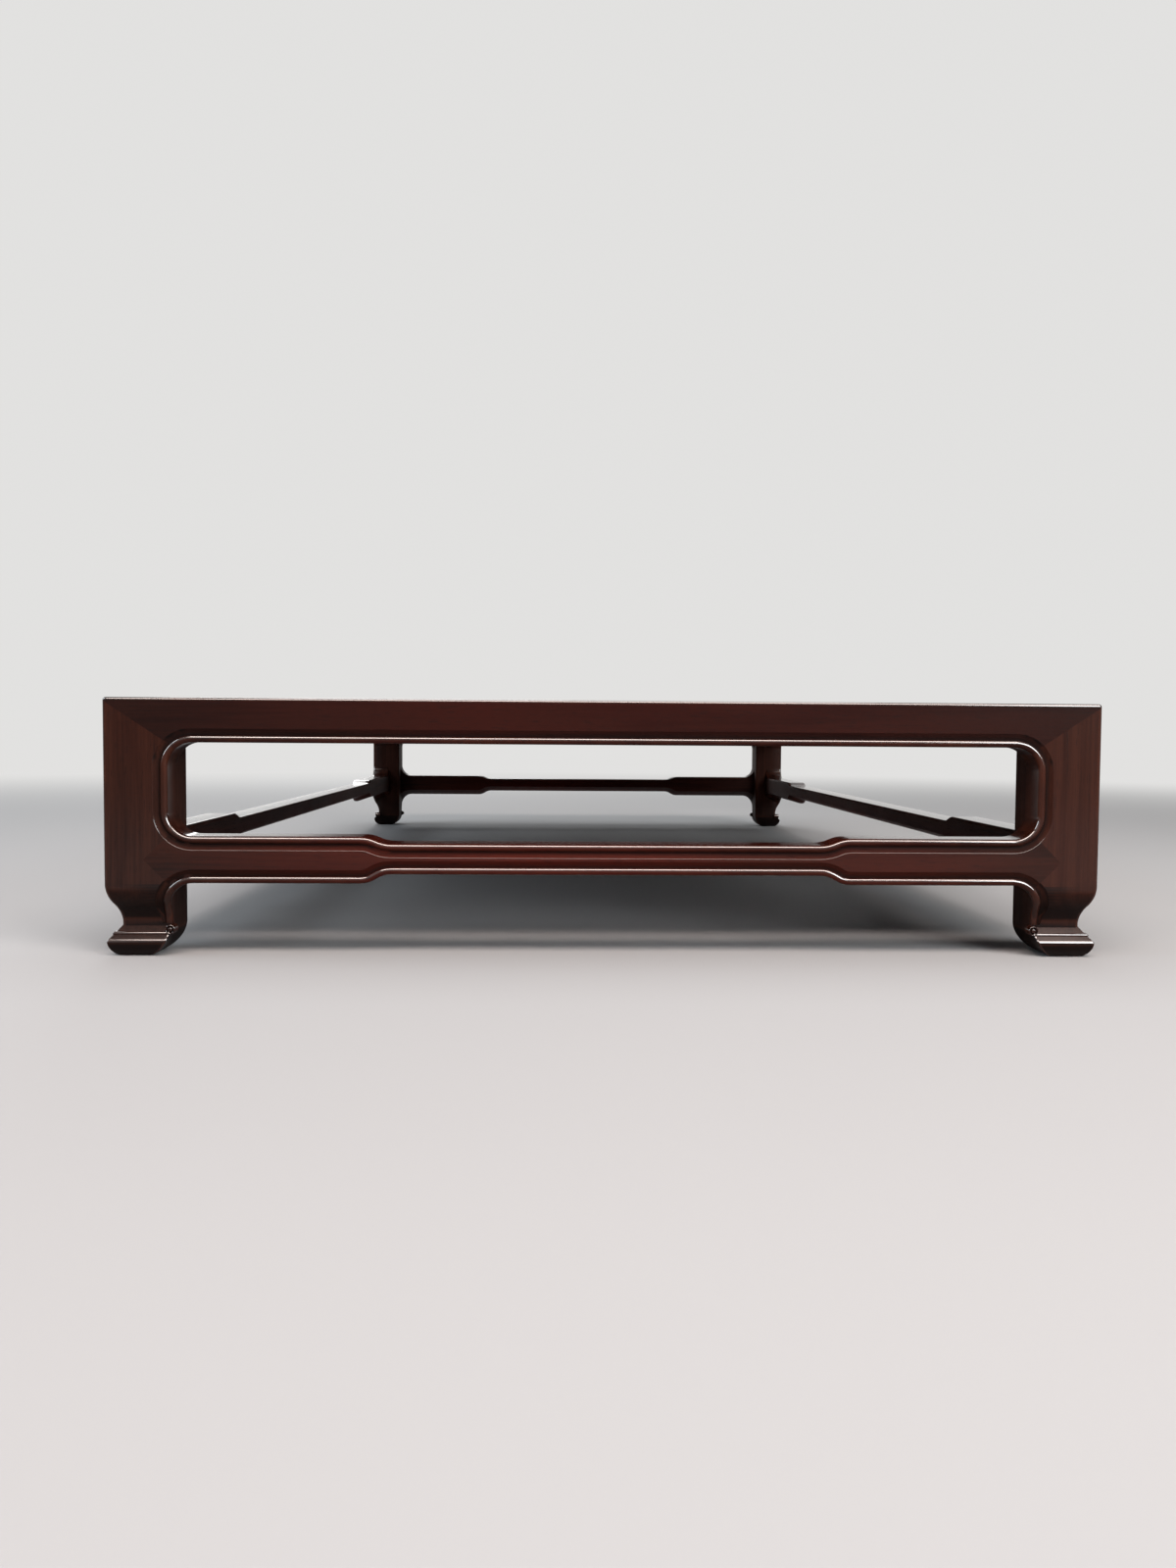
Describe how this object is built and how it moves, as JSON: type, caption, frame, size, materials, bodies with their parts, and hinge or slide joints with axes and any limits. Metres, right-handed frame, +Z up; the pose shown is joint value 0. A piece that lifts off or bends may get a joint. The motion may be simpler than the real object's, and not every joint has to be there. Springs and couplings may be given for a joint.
{
  "type": "low display table",
  "caption": "Low rectangular display table of dark rosewood: mitred panelled top, square legs swept in to small turned-out toes, waisted stretchers near the floor, beaded openings.",
  "frame": {"origin": "on the floor under the middle of the top", "axes": "+X along the short side, to the right in the picture; +Y along the long side, away from the picture's camera; +Z up"},
  "size_m": [0.35, 0.59, 0.0905],
  "materials": {
    "leg_wood": "satin lacquer",
    "rail_wood": "satin lacquer",
    "stretcher_wood": "satin lacquer",
    "panel_wood": "satin lacquer",
    "batten_wood": "satin lacquer"
  },
  "bodies": {
    "root": {"leg_front_left": "leg_wood", "leg_front_right": "leg_wood", "leg_rear_left": "leg_wood", "leg_rear_right": "leg_wood", "end_rail_front": "rail_wood", "end_rail_rear": "rail_wood", "side_rail_left": "rail_wood", "side_rail_right": "rail_wood", "end_stretcher_front": "stretcher_wood", "end_stretcher_rear": "stretcher_wood", "side_stretcher_left": "stretcher_wood", "side_stretcher_right": "stretcher_wood", "panel_board_left": "panel_wood", "panel_board_middle": "panel_wood", "panel_board_right": "panel_wood", "batten_front": "batten_wood", "batten_middle": "batten_wood", "batten_rear": "batten_wood"}
  },
  "joints": []
}
